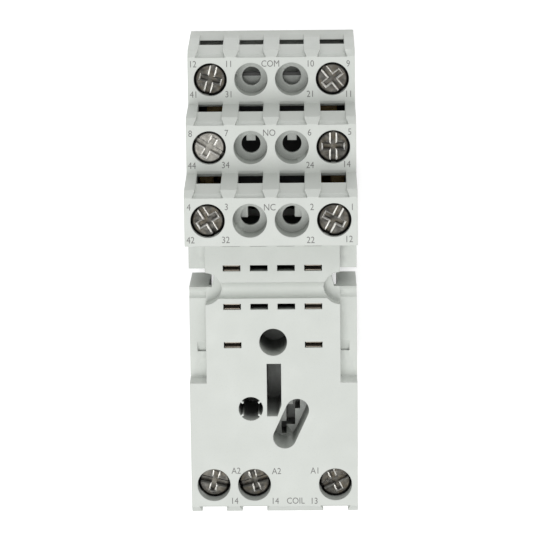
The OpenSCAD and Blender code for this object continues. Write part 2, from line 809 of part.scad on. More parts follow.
// A terminal screw at (x, y) in a tier at face_z: head_drop is how deep its
// head lies, turn is the angle of its slot
module screw(x, y, face_z, head_drop, turn) {
    shoulder_z = face_z - head_hole_depth;
    head_z = face_z - head_drop;
    tip_z = face_z - clamp_drop - clamp_plate_t - 0.2;
    collar_d = head_d - 1;
    color(STEEL)
    translate([x, y, 0])
        rotate([0, 0, turn])
            difference() {
                union() {
                    translate([0, 0, head_z - head_h])
                        cylinder(d = head_d, h = head_h);
                    if (head_z - head_h > shoulder_z + 2*TOUCH)
                        translate([0, 0, shoulder_z + TOUCH])
                            cylinder(d = collar_d, h = head_z - head_h - shoulder_z);
                    translate([0, 0, tip_z])
                        cylinder(d = screw_d, h = head_z - head_h - tip_z + EPS);
                }
                translate([-head_d/2 - EPS, -slot_w/2, head_z - slot_depth])
                    cube([head_d + 2*EPS, slot_w, slot_depth + EPS]);
                translate([-slot_w/2, -cross_l/2, head_z - slot_depth])
                    cube([slot_w, cross_l, slot_depth + EPS]);
            }
}

// The coil screws are driven home, so their heads bear on the shoulder
coil_head_drop = head_hole_depth - head_h - TOUCH;

module screw_com_left() { screw(-outer_x, com_row_y, com_face_z, contact_head_drop, 75); }
module screw_com_right() { screw(outer_x, com_row_y, com_face_z, contact_head_drop, 129); }
module screw_no_left() { screw(-outer_x, no_row_y, no_face_z, contact_head_drop, 149); }
module screw_no_right() { screw(outer_x, no_row_y, no_face_z, contact_head_drop, 90); }
module screw_nc_left() { screw(-outer_x, nc_row_y, nc_face_z, contact_head_drop, 121); }
module screw_nc_right() { screw(outer_x, nc_row_y, nc_face_z, contact_head_drop, 62); }
module screw_a2_outer() { screw(-outer_x, coil_row_y, seat_z, coil_head_drop, 166); }
module screw_a2_inner() { screw(-inner_x, coil_row_y, seat_z, coil_head_drop, 16); }
module screw_a1() { screw(outer_x, coil_row_y, seat_z, coil_head_drop, 25); }

// ------------------------------------------------------------------ clamps

// A rising clamp at (x, y): a threaded plate with a guide wing each side of
// the conductor.  dir is the side of the wire entry.
module clamp(x, y, face_z, dir) {
    plate_z = face_z - clamp_drop;
    wing_top = face_z - tab_drop - clamp_travel - 0.1;
    back_y = dir > 0 ? -clamp_back : -clamp_front;
    length = clamp_front + clamp_back;
    color(STEEL)
    translate([x, y, 0])
        difference() {
            union() {
                translate([-clamp_w/2, back_y, plate_z - clamp_plate_t])
                    cube([clamp_w, length, clamp_plate_t]);
                for (side = [LEFT, RIGHT])
                    translate([side*(clamp_w - clamp_wing_t)/2 - clamp_wing_t/2, back_y, plate_z - EPS])
                        cube([clamp_wing_t, length, wing_top - plate_z + EPS]);
            }
            translate([0, 0, plate_z - clamp_plate_t - EPS])
                cylinder(d = shank_hole_d, h = clamp_plate_t + 2*EPS);
        }
}

module clamp_com_left() { clamp(-outer_x, com_row_y, com_face_z, 1); }
module clamp_com_right() { clamp(outer_x, com_row_y, com_face_z, 1); }
module clamp_no_left() { clamp(-outer_x, no_row_y, no_face_z, 1); }
module clamp_no_right() { clamp(outer_x, no_row_y, no_face_z, 1); }
module clamp_nc_left() { clamp(-outer_x, nc_row_y, nc_face_z, 1); }
module clamp_nc_right() { clamp(outer_x, nc_row_y, nc_face_z, 1); }
module clamp_a2_outer() { clamp(-outer_x, coil_row_y, seat_z, -1); }
module clamp_a2_inner() { clamp(-inner_x, coil_row_y, seat_z, -1); }
module clamp_a1() { clamp(outer_x, coil_row_y, seat_z, -1); }

// --------------------------------------------------------- conductor strips

// The flat end of a conductor under its screw, from back_y to front_y
module tab(y, face_z, back_y, front_y) {
    top_z = face_z - tab_drop;
    difference() {
        span([outer_x - tab_w/2, back_y, top_z - strip_t], [outer_x + tab_w/2, front_y, top_z]);
        translate([outer_x, y, top_z - strip_t - EPS])
            cylinder(d = screw_d + 0.3, h = strip_t + 2*EPS);
    }
}

// The foot under a blade contact's well, reaching in from x = reach
module foot(pin_y, top_z, reach, back, front) {
    inside_x = outer_pin_x - fork_w/2;
    span([inside_x, pin_y - back, top_z - strip_t], [reach, pin_y + front, top_z]);
}

// Common contact: one flat strip from the lowest tier to its slot
module strip_com(side) {
    top_z = com_face_z - tab_drop;
    low_z = top_z - strip_t;
    jog_y = clip_room_front_y + clip_wall + 1.2;
    run_x = outer_x - 2.2;
    color(BRASS)
    mirror([side > 0 ? 0 : 1, 0, 0]) {
        tab(com_row_y, com_face_z, com_row_y - tab_back, com_row_y + tab_front);
        span([run_x, jog_y, low_z], [run_x + 3, com_row_y - tab_back + EPS, top_z]);
        span([outer_pin_x - fork_w/2, jog_y - 1, low_z], [run_x + 3, jog_y + 2, top_z]);
        foot(com_pin_y, top_z, foot_reach, foot_back, jog_y - com_pin_y);
    }
}

// A strip that runs high along the side wall, then drops to its foot
module side_strip(y, face_z, pin_y, drop_y, dir) {
    top_z = face_z - tab_drop;
    low_z = top_z - strip_t;
    end_y = y - dir*tab_back;
    front_y = y + dir*tab_front;
    joint_y = end_y + dir*EPS;
    foot_rear = dir > 0 ? foot_back : pin_y - drop_y;
    foot_fore = dir > 0 ? drop_y - pin_y : foot_back;
    t = strip_t;
    tab(y, face_z, min(end_y, front_y), max(end_y, front_y));
    span([run_inner_x, min(drop_y, joint_y), low_z], [outer_x + tab_w/2, max(drop_y, joint_y), top_z]);
    span([run_inner_x, drop_y - t/2, foot_z - t], [run_outer_x, drop_y + t/2, top_z]);
    span([outer_pin_x - fork_w/2, drop_y - t/2, foot_z - t], [run_outer_x, drop_y + t/2, foot_z]);
    foot(pin_y, foot_z, foot_reach, foot_rear, foot_fore);
}

module strip_no(side) {
    color(BRASS)
    mirror([side > 0 ? 0 : 1, 0, 0])
        side_strip(no_row_y, no_face_z, no_pin_y, clip_room_front_y + clip_wall + strip_t/2 + 0.3, 1);
}

// Normally closed contact: the strip drops close behind its screw
module strip_nc(side) {
    top_z = nc_face_z - tab_drop;
    back_y = cavity_front_y + 0.1;
    drop_front = back_y + 0.75;
    drop_x = outer_x - tab_w/2;
    drop_w = 1.2;
    foot_front = cavity_front_y - 0.1;
    color(BRASS)
    mirror([side > 0 ? 0 : 1, 0, 0]) {
        tab(nc_row_y, nc_face_z, back_y, nc_row_y + tab_front);
        span([drop_x, back_y, foot_z - strip_t], [drop_x + drop_w, drop_front, top_z]);
        span([drop_x, foot_front, foot_z - strip_t], [drop_x + drop_w, back_y + EPS, foot_z]);
        foot(nc_pin_y, foot_z, drop_x + drop_w, foot_back, foot_front - nc_pin_y + EPS);
    }
}

module coil_run() {
    side_strip(coil_row_y, seat_z, coil_pin_y, coil_pin_y - 2.8, -1);
}

module strip_a1() {
    color(BRASS)
        coil_run();
}

// The A2 strip serves two screws, joined by a bridge behind them
module strip_a2() {
    top_z = seat_z - tab_drop;
    bridge_y = cavity_end_y + 0.15;
    color(BRASS)
    mirror([1, 0, 0]) {
        coil_run();
        translate([-column_pitch, 0, 0])
            tab(coil_row_y, seat_z, coil_row_y - tab_front, bridge_y + EPS);
        span([inner_x - tab_w/2, bridge_y, top_z - strip_t], [run_inner_x + EPS, bridge_y + 1.2, top_z]);
    }
}

module strip_com_left() { strip_com(LEFT); }
module strip_com_right() { strip_com(RIGHT); }
module strip_no_left() { strip_no(LEFT); }
module strip_no_right() { strip_no(RIGHT); }
module strip_nc_left() { strip_nc(LEFT); }
module strip_nc_right() { strip_nc(RIGHT); }

// ----------------------------------------------------------- blade contacts

// A springy fork that grips one blade of the relay, standing on its foot
module fork(side, pin_y, base_z) {
    t = fork_leaf_t;
    base_half = fork_foot_l/2;
    pinch_z = seat_under_z - 1.6;
    mouth_z = seat_under_z - 0.25;
    mouth_half = fork_mouth/2;
    pinch = fork_gap/2;
    color(BRONZE)
    along_x(fork_w, side*outer_pin_x)
        translate([pin_y, 0])
            polygon([
                [-base_half, base_z],
                [base_half, base_z],
                [pinch + t, pinch_z],
                [mouth_half + t, mouth_z],
                [mouth_half, mouth_z],
                [pinch, pinch_z],
                [base_half - t, base_z + t],
                [-base_half + t, base_z + t],
                [-pinch, pinch_z],
                [-mouth_half, mouth_z],
                [-mouth_half - t, mouth_z],
                [-pinch - t, pinch_z]]);
}

module fork_com_left() { fork(LEFT, com_pin_y, com_foot_z); }
module fork_com_right() { fork(RIGHT, com_pin_y, com_foot_z); }
module fork_no_left() { fork(LEFT, no_pin_y, foot_z); }
module fork_no_right() { fork(RIGHT, no_pin_y, foot_z); }
module fork_nc_left() { fork(LEFT, nc_pin_y, foot_z); }
module fork_nc_right() { fork(RIGHT, nc_pin_y, foot_z); }
module fork_a2() { fork(LEFT, coil_pin_y, foot_z); }
module fork_a1() { fork(RIGHT, coil_pin_y, foot_z); }

housing();
base_cover();
rail_latch();
latch_spring();
screw_com_left();
screw_com_right();
screw_no_left();
screw_no_right();
screw_nc_left();
screw_nc_right();
screw_a2_outer();
screw_a2_inner();
screw_a1();
clamp_com_left();
clamp_com_right();
clamp_no_left();
clamp_no_right();
clamp_nc_left();
clamp_nc_right();
clamp_a2_outer();
clamp_a2_inner();
clamp_a1();
strip_com_left();
strip_com_right();
strip_no_left();
strip_no_right();
strip_nc_left();
strip_nc_right();
strip_a2();
strip_a1();
fork_com_left();
fork_com_right();
fork_no_left();
fork_no_right();
fork_nc_left();
fork_nc_right();
fork_a2();
fork_a1();
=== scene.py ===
"""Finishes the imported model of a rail-mounted relay socket: moulded housing,
slotted terminal screws with rolled threads, wire clamps, stamped conductors,
rail latch and printed terminal numbers, with a plain studio round them."""

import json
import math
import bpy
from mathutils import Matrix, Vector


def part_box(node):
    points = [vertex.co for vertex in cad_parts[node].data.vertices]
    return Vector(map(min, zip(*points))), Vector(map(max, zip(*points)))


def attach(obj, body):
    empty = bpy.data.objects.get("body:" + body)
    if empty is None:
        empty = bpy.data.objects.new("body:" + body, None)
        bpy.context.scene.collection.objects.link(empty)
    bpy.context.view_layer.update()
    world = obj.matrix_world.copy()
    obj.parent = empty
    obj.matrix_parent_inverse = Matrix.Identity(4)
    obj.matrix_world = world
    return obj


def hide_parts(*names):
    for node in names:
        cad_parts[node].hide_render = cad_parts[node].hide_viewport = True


bl_info = {
    "name": "Relay Socket",
    "version": (1, 0, 0),
    "blender": (4, 5, 0),
    "location": "View3D > Sidebar > Relay Socket",
    "description": "Finishes the housing, screws, conductors and lettering of a relay socket",
    "category": "Object",
}

import bmesh
import bpy
from bpy.props import FloatProperty, FloatVectorProperty, IntProperty, PointerProperty
from bpy.types import Operator, Panel, PropertyGroup
from mathutils import Matrix, Vector

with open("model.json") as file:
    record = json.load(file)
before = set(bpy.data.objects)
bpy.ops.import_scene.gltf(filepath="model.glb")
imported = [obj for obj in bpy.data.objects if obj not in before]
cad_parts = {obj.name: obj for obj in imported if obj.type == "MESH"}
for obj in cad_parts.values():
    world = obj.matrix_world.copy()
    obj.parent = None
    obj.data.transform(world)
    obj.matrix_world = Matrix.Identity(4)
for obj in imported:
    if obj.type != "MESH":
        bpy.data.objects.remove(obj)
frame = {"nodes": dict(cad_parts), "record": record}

MM = 0.001
SCREWS = (
    "com_left", "com_right", "no_left", "no_right", "nc_left", "nc_right",
    "a2_outer", "a2_inner", "a1",
)
# how far a screw's head is dulled and scuffed by the screwdriver
SCREW_WEAR = {"no_left": 1.0, "a2_outer": 0.15, "com_right": 0.1}
# radii of a screw's shank and of the flat on its head
SHANK_R = 1.5 * MM
HEAD_FLAT_R = 2.25 * MM
# width of the printed figures beside the plain letter shapes
LETTER_NARROWING = 0.88
STRIPS = (
    "strip_com_left", "strip_com_right", "strip_no_left", "strip_no_right",
    "strip_nc_left", "strip_nc_right", "strip_a2", "strip_a1",
)
FORKS = (
    "fork_com_left", "fork_com_right", "fork_no_left", "fork_no_right",
    "fork_nc_left", "fork_nc_right", "fork_a2", "fork_a1",
)
# the rooms behind the wire entries, painted near black inside as painted shade: lowest and highest corners in mm
TERMINAL_ROOMS = (
    ((-12.5, 31.9, 3.0), (12.5, 36.8, 8.9)), ((-12.5, 8.9, 3.0), (12.5, 27.6, 13.6)),
    ((-12.5, 8.9, 3.0), (12.5, 17.4, 22.8)), ((-12.5, -37.2, 9.0), (12.5, -29.0, 16.0)),
)
# terminal numbers: face height in mm, then (text, x, y) of each one's middle
LETTERING = {
    "com": (14.2, (
        ("12", -12.75, 34.7), ("11", -6.95, 34.7), ("COM", -0.13, 34.7), ("10", 6.5, 34.65),
        ("9", 12.6, 34.6), ("41", -12.85, 29.7), ("31", -7.05, 29.7), ("21", 6.3, 29.65),
        ("11", 12.65, 29.6))),
    "no": (23.4, (
        ("8", -13.0, 24.65), ("7", -7.15, 24.7), ("NO", -0.28, 24.7), ("6", 6.2, 24.7),
        ("5", 12.65, 24.75), ("44", -12.8, 19.45), ("34", -7.35, 19.5), ("24", 6.25, 19.4),
        ("14", 12.25, 19.5))),
    "nc": (33.4, (
        ("4", -12.95, 14.5), ("3", -7.0, 14.5), ("NC", -0.16, 14.4), ("2", 6.5, 14.4),
        ("1", 12.85, 14.35), ("42", -12.75, 9.2), ("32", -7.15, 9.2), ("22", 6.25, 9.1),
        ("12", 12.4, 9.2))),
    "coil": (25.0, (
        ("A2", -6.35, -31.25), ("A2", 0.3, -31.35), ("A1", 6.55, -31.3), ("14", -6.55, -36.4),
        ("14", 0.15, -36.45), ("COIL", 3.45, -36.45), ("13", 6.55, -36.5))),
}


# ------------------------------------------------------------------ settings

class RelaySocketSizes(PropertyGroup):
    """Sizes of the fine detail"""

    edge_round: FloatProperty(
        name="Edge round", description="Radius of the moulded edges",
        default=0.2 * MM, min=0.02 * MM, max=0.3 * MM, precision=5, unit="LENGTH", subtype="DISTANCE")
    slot_chamfer: FloatProperty(
        name="Slot chamfer", description="Width of the bevel along a screw's slots",
        default=0.23 * MM, min=0.02 * MM, max=0.24 * MM, precision=5, unit="LENGTH", subtype="DISTANCE")
    head_chamfer: FloatProperty(
        name="Head chamfer", description="Width of the bevel round a screw's head",
        default=0.3 * MM, min=0.05 * MM, max=0.5 * MM, precision=5, unit="LENGTH", subtype="DISTANCE")
    thread_pitch: FloatProperty(
        name="Thread pitch", description="Rise of a screw's thread in one turn",
        default=0.5 * MM, min=0.35 * MM, max=0.7 * MM, precision=5, unit="LENGTH", subtype="DISTANCE")
    thread_depth: FloatProperty(
        name="Thread depth", description="Depth of a screw's thread",
        default=0.26 * MM, min=0.1 * MM, max=0.35 * MM, precision=5, unit="LENGTH", subtype="DISTANCE")
    letter_height: FloatProperty(
        name="Letter height", description="Height of the printed figures",
        default=1.03 * MM, min=0.6 * MM, max=1.2 * MM, precision=5, unit="LENGTH", subtype="DISTANCE")
    ink_thickness: FloatProperty(
        name="Ink thickness", description="Thickness of the printed ink",
        default=0.012 * MM, min=0.005 * MM, max=0.05 * MM, precision=6, unit="LENGTH", subtype="DISTANCE")


class RelaySocketFinish(PropertyGroup):
    """Colours of the finishes"""

    housing: FloatVectorProperty(
        name="Housing", description="Colour of the moulded housing",
        default=(0.582, 0.607, 0.573), size=3, min=0.0, max=1.0, subtype="COLOR")
    cover: FloatVectorProperty(
        name="Base cover", description="Colour of the base cover",
        default=(0.565, 0.588, 0.553), size=3, min=0.0, max=1.0, subtype="COLOR")
    latch: FloatVectorProperty(
        name="Rail latch", description="Colour of the rail latch",
        default=(0.58, 0.6, 0.57), size=3, min=0.0, max=1.0, subtype="COLOR")
    ink: FloatVectorProperty(
        name="Ink", description="Colour of the printed figures",
        default=(0.13, 0.13, 0.125), size=3, min=0.0, max=1.0, subtype="COLOR")
    # painted reflection: the plating is kept very dark, so the flats of the heads show a painted dark reflection
    nickel: FloatVectorProperty(
        name="Screws", description="Colour of the screws' plating",
        default=(0.034, 0.033, 0.03), size=3, min=0.0, max=1.0, subtype="COLOR")
    zinc: FloatVectorProperty(
        name="Clamps", description="Colour of the clamps' plating",
        default=(0.56, 0.57, 0.58), size=3, min=0.0, max=1.0, subtype="COLOR")
    # partly aged brass and partly painted shade: kept dark because the strips are seen only in the dark rooms
    # behind the wire entries
    brass: FloatVectorProperty(
        name="Conductor strips", description="Colour of the conductor strips",
        default=(0.3, 0.22, 0.11), size=3, min=0.0, max=1.0, subtype="COLOR")
    bronze: FloatVectorProperty(
        name="Contacts", description="Colour of the blade contacts",
        default=(0.17, 0.145, 0.115), size=3, min=0.0, max=1.0, subtype="COLOR")


class RelaySocketStage(PropertyGroup):
    """Floor, lamps and camera"""

    floor: FloatVectorProperty(
        name="Floor", description="Colour of the floor",
        default=(0.9, 0.9, 0.9), size=3, min=0.0, max=1.0, subtype="COLOR")
    room: FloatProperty(
        name="Room light", description="Strength of the light from all round",
        default=0.55, min=0.0, max=2.0)
    key: FloatProperty(
        name="Main lamp", description="Power of the lamp over the coil end",
        default=4.2, min=0.0, max=20.0, unit="POWER")
    fill: FloatProperty(
        name="Second lamp", description="Power of the lamp over the contact end",
        default=1.4, min=0.0, max=20.0, unit="POWER")
    lens: FloatProperty(
        name="Lens", description="Focal length of the camera in millimetres",
        default=165.11, min=20.0, max=400.0)
    thread_steps: IntProperty(
        name="Thread steps", description="Number of steps in one turn of a thread",
        default=20, min=8, max=64)


# ------------------------------------------------------------------ finishes

def noise(tree, place, scale, detail=2.0, roughness=0.5):
    """A noise pattern's value; scale is in features per metre."""
    made = tree.nodes.new("ShaderNodeTexNoise")
    made.inputs["Scale"].default_value = scale
    made.inputs["Detail"].default_value = detail
    made.inputs["Roughness"].default_value = roughness
    tree.links.new(place, made.inputs["Vector"])
    return made.outputs["Fac"]


def spread(tree, value, low, high, to_low, to_high):
    """Maps low..high of a value onto to_low..to_high."""
    made = tree.nodes.new("ShaderNodeMapRange")
    for key, number in zip(("From Min", "From Max", "To Min", "To Max"), (low, high, to_low, to_high)):
        made.inputs[key].default_value = number
    tree.links.new(value, made.inputs["Value"])
    return made.outputs["Result"]


def maths(tree, operation, first, second):
    """Two values, or a value and a number, put through a sum."""
    made = tree.nodes.new("ShaderNodeMath")
    made.operation = operation
    for slot, value in zip(made.inputs, (first, second)):
        if isinstance(value, (int, float)):
            slot.default_value = value
        else:
            tree.links.new(value, slot)
    return made.outputs["Value"]


def blend_colours(tree, amount, first, second, way="MIX"):
    """Mixes two colours; each is a colour or another node's output."""
    made = tree.nodes.new("ShaderNodeMix")
    made.data_type = "RGBA"
    made.blend_type = way
    if isinstance(amount, (int, float)):
        made.inputs[0].default_value = amount
    else:
        tree.links.new(amount, made.inputs[0])
    for slot, value in zip((made.inputs[6], made.inputs[7]), (first, second)):
        if isinstance(value, bpy.types.NodeSocket):
            tree.links.new(value, slot)
        else:
            slot.default_value = (*value[:3], 1.0)
    return made.outputs[2]


def tinted(colour, factor):
    return tuple(min(1.0, channel * factor) for channel in colour)


def bumped(tree, heights, normal=None):
    """A normal from (value, height in metres) pairs, laid one on another."""
    for value, height in heights:
        made = tree.nodes.new("ShaderNodeBump")
        made.inputs["Distance"].default_value = height
        made.inputs["Strength"].default_value = 1.0
        tree.links.new(value, made.inputs["Height"])
        if normal is not None:
            tree.links.new(normal, made.inputs["Normal"])
        normal = made.outputs["Normal"]
    return normal


def shelter(tree, reach):
    """How open a place is, from 0 in a closed corner to 1 in the open."""
    made = tree.nodes.new("ShaderNodeAmbientOcclusion")
    made.samples = 8
    made.inputs["Distance"].default_value = reach
    return made.outputs["AO"]


def deep_shade(tree):
    """Painted shade: the dark of the rooms inside, where little light comes, painted by how closed in a place
    is.
    """
    return spread(tree, shelter(tree, 8.0 * MM), 0.15, 0.02, 0.0, 0.85)


def inner_rooms(tree, place, rooms):
    """1 inside any of the rooms, each a box given in mm, and 0 outside."""
    parts = tree.nodes.new("ShaderNodeSeparateXYZ")
    tree.links.new(place, parts.inputs[0])
    total = None
    for low, high in rooms:
        inside = None
        for axis, first, last in zip("XYZ", low, high):
            middle, half = (first + last) / 2 * MM, (last - first) / 2 * MM
            off = maths(tree, "ABSOLUTE", maths(tree, "SUBTRACT", parts.outputs[axis], middle), 0.0)
            within = spread(tree, off, half, half + 0.05 * MM, 1.0, 0.0)
            inside = within if inside is None else maths(tree, "MULTIPLY", inside, within)
        total = inside if total is None else maths(tree, "MAXIMUM", total, inside)
    return total


def new_finish(name, metallic, roughness):
    """An empty material; returns it with its tree, shader and object place."""
    material = bpy.data.materials.new(name)
    material.use_nodes = True
    tree = material.node_tree
    shader = tree.nodes["Principled BSDF"]
    shader.inputs["Metallic"].default_value = metallic
    shader.inputs["Roughness"].default_value = roughness
    place = tree.nodes.new("ShaderNodeTexCoord").outputs["Object"]
    return material, tree, shader, place


def moulded_plastic(name, colour, edge_round, rooms=()):
    """Matt moulded plastic: a spark-eroded grain and faint flow marks, edges painted lighter as a
    painted highlight and polished by handling, and painted shade in the corners, the deep places and the given
    rooms."""
    material, tree, shader, place = new_finish(name, 0.0, 0.5)
    shader.inputs["IOR"].default_value = 1.5
    shader.inputs["Specular IOR Level"].default_value = 0.4
    link = tree.links.new
    drift = spread(tree, noise(tree, place, 70.0, 3.0), 0.3, 0.7, 0.0, 1.0)
    colour_out = blend_colours(tree, drift, tinted(colour, 0.975), tinted(colour, 1.015))
    speck = spread(tree, noise(tree, place, 3800.0, 2.0), 0.58, 0.72, 0.0, 0.35)
    colour_out = blend_colours(tree, speck, colour_out, tinted(colour, 0.86))

    rounded = tree.nodes.new("ShaderNodeBevel")
    rounded.samples = 6
    rounded.inputs["Radius"].default_value = edge_round
    shape = tree.nodes.new("ShaderNodeNewGeometry")
    turn = tree.nodes.new("ShaderNodeVectorMath")
    turn.operation = "DOT_PRODUCT"
    link(rounded.outputs["Normal"], turn.inputs[0])
    link(shape.outputs["True Normal"], turn.inputs[1])
    edge = spread(tree, turn.outputs["Value"], 0.995, 0.86, 0.0, 1.0)
    # painted highlight: the rounded edges are painted lighter; the same mask makes them a little smoother, as
    # polished by handling
    edge_highlight_and_wear = maths(tree, "MULTIPLY", edge, spread(tree, noise(tree, place, 900.0, 3.0), 0.3, 0.6, 0.5, 1.0))
    colour_out = blend_colours(tree, edge_highlight_and_wear, colour_out, tinted(colour, 1.2))

    # painted shade: darker in the corners, by how closed in a place is
    corner_shade = spread(tree, shelter(tree, 5.0 * MM), 0.36, 0.1, 0.0, 0.5)
    colour_out = blend_colours(tree, corner_shade, colour_out, tinted(colour, 0.4))
    # painted shade: near black in the deep places inside
    colour_out = blend_colours(tree, deep_shade(tree), colour_out, tinted(colour, 0.04))
    # painted shade: the rooms behind the wire entries are painted near black
    if rooms:
        dark = inner_rooms(tree, place, rooms)
        colour_out = blend_colours(tree, dark, colour_out, tinted(colour, 0.05))
    link(colour_out, shader.inputs["Base Color"])

    smooth = spread(tree, noise(tree, place, 240.0, 4.0), 0.3, 0.7, 0.42, 0.58)
    link(maths(tree, "SUBTRACT", smooth, maths(tree, "MULTIPLY", edge_highlight_and_wear, 0.1)), shader.inputs["Roughness"])
    normal = bumped(tree, (
        (noise(tree, place, 5200.0, 3.0, 0.6), 0.006 * MM),
        (noise(tree, place, 160.0, 2.0), 0.03 * MM)), rounded.outputs["Normal"])
    link(normal, shader.inputs["Normal"])
    return material


def plated_screw(name, colour):
    """Nickel plating on a turned and stamped screw: flats painted dark as a painted reflection,
    with fine turning rings and warm tints, and slot walls painted bright as a painted reflection."""
    material, tree, shader, place = new_finish(name, 1.0, 0.34)
    link = tree.links.new
    own_place = tree.nodes.new("ShaderNodeAttribute")
    own_place.attribute_name = "from_axis"
    wear = tree.nodes.new("ShaderNodeAttribute")
    wear.attribute_name = "wear"
    patch = spread(tree, noise(tree, place, 1300.0, 4.0, 0.65), 0.38, 0.66, 0.0, 1.0)
    colour_out = blend_colours(tree, patch, tinted(colour, 0.5), tinted(colour, 1.9))
    warm = spread(tree, noise(tree, place, 900.0, 2.0), 0.45, 0.65, 0.0, 0.7)
    colour_out = blend_colours(tree, warm, colour_out, (colour[0] * 1.5, colour[1] * 1.35, colour[2] * 1.1))
    scuffed = maths(tree, "MULTIPLY", wear.outputs["Fac"], 0.65)
    colour_out = blend_colours(tree, scuffed, colour_out, tinted(colour, 5.0))

    facing = tree.nodes.new("ShaderNodeSeparateXYZ")
    link(tree.nodes.new("ShaderNodeNewGeometry").outputs["True Normal"], facing.inputs[0])
    # painted reflection: sloped slot walls that face sideways on the flat of the head are painted near white
    sloped = spread(tree, maths(tree, "ABSOLUTE", facing.outputs["Z"], 0.0), 0.95, 0.75, 0.0, 1.0)
    sideways = spread(tree, maths(tree, "ABSOLUTE", facing.outputs["X"], 0.0), 0.15, 0.62, 0.12, 1.0)
    parts = tree.nodes.new("ShaderNodeSeparateXYZ")
    link(own_place.outputs["Vector"], parts.inputs[0])
    radius = maths(tree, "SQRT", maths(
        tree, "ADD", maths(tree, "MULTIPLY", parts.outputs["X"], parts.outputs["X"]),
        maths(tree, "MULTIPLY", parts.outputs["Y"], parts.outputs["Y"])), 0.0)
    inside = spread(tree, radius, HEAD_FLAT_R, HEAD_FLAT_R + 0.05 * MM, 1.0, 0.0)
    slot_wall_reflection = maths(tree, "MULTIPLY", maths(tree, "MULTIPLY", sloped, sideways), inside)
    uneven = spread(tree, noise(tree, place, 1500.0, 2.0), 0.3, 0.6, 0.7, 1.0)
    slot_wall_reflection = maths(tree, "MULTIPLY", slot_wall_reflection, uneven)
    colour_out = blend_colours(tree, slot_wall_reflection, colour_out, (0.97, 0.96, 0.93))
    # painted dark reflection and shade in a ring at the edge of the head's flat
    rim_dark_reflection = maths(
        tree, "MULTIPLY", spread(tree, radius, HEAD_FLAT_R - 0.05 * MM, HEAD_FLAT_R + 0.03 * MM, 0.0, 1.0), 0.85)
    colour_out = blend_colours(tree, rim_dark_reflection, colour_out, tinted(colour, 0.12))
    link(colour_out, shader.inputs["Base Color"])

    rings = tree.nodes.new("ShaderNodeTexWave")
    rings.wave_type = "RINGS"
    rings.rings_direction = "Z"
    rings.inputs["Scale"].default_value = 1500.0
    rings.inputs["Distortion"].default_value = 1.5
    rings.inputs["Detail"].default_value = 2.0
    link(own_place.outputs["Vector"], rings.inputs["Vector"])
    link(spread(tree, noise(tree, place, 1500.0, 3.0), 0.3, 0.7, 0.26, 0.46), shader.inputs["Roughness"])
    link(bumped(tree, (
        (rings.outputs["Fac"], 0.006 * MM),
        (noise(tree, place, 2600.0, 4.0, 0.65), 0.04 * MM))), shader.inputs["Normal"])
    return material


def plated_steel(name, colour):
    """Bright zinc over pressed steel, with a fine spangle and scuffs."""
    material, tree, shader, place = new_finish(name, 1.0, 0.38)
    link = tree.links.new
    spangle = tree.nodes.new("ShaderNodeTexVoronoi")
    spangle.inputs["Scale"].default_value = 1600.0
    link(place, spangle.inputs["Vector"])
    tone = spread(tree, spangle.outputs["Distance"], 0.1, 0.8, 0.0, 1.0)
    colour_out = blend_colours(tree, tone, colour, tinted(colour, 0.8))
    dull = spread(tree, noise(tree, place, 500.0, 3.0), 0.5, 0.75, 0.0, 0.6)
    colour_out = blend_colours(tree, dull, colour_out, tinted(colour, 0.6))
    # painted shade: darker in the deep places inside
    link(blend_colours(tree, deep_shade(tree), colour_out, tinted(colour, 0.05)), shader.inputs["Base Color"])
    link(spread(tree, noise(tree, place, 1100.0, 4.0), 0.3, 0.7, 0.28, 0.5), shader.inputs["Roughness"])
    link(bumped(tree, ((noise(tree, place, 3000.0, 4.0, 0.6), 0.008 * MM),)), shader.inputs["Normal"])
    return material


def stamped_copper_alloy(name, colour, stain, metallic=1.0):
    """Rolled and stamped strip, with rolling lines along it and stains; a
    tarnished one is less metallic."""
    material, tree, shader, place = new_finish(name, metallic, 0.32)
    link = tree.links.new
    along = tree.nodes.new("ShaderNodeMapping")
    along.inputs["Scale"].default_value = (1.0, 0.06, 1.0)
    link(place, along.inputs["Vector"])
    lines = noise(tree, along.outputs["Vector"], 9000.0, 3.0)
    tone = spread(tree, noise(tree, place, 350.0, 4.0, 0.6), 0.35, 0.7, 0.0, 0.75)
    colour_out = blend_colours(tree, tone, colour, stain)
    rolled = spread(tree, lines, 0.3, 0.7, 0.0, 0.25)
    colour_out = blend_colours(tree, rolled, colour_out, tinted(colour, 0.7))
    # painted shade: a fully metallic strip is darker in the deep places inside
    if metallic == 1.0:
        colour_out = blend_colours(tree, deep_shade(tree), colour_out, tinted(stain, 0.06))
    link(colour_out, shader.inputs["Base Color"])
    link(spread(tree, lines, 0.3, 0.7, 0.24, 0.42), shader.inputs["Roughness"])
    link(bumped(tree, ((lines, 0.003 * MM),)), shader.inputs["Normal"])
    return material


def printed_ink(name, colour):
    """Pad-printed ink, thinner in places."""
    material, tree, shader, place = new_finish(name, 0.0, 0.55)
    thin = spread(tree, noise(tree, place, 2600.0, 3.0), 0.4, 0.7, 0.0, 0.45)
    tree.links.new(blend_colours(tree, thin, colour, tinted(colour, 1.7)), shader.inputs["Base Color"])
    tree.links.new(spread(tree, thin, 0.0, 0.45, 0.45, 0.65), shader.inputs["Roughness"])
    return material


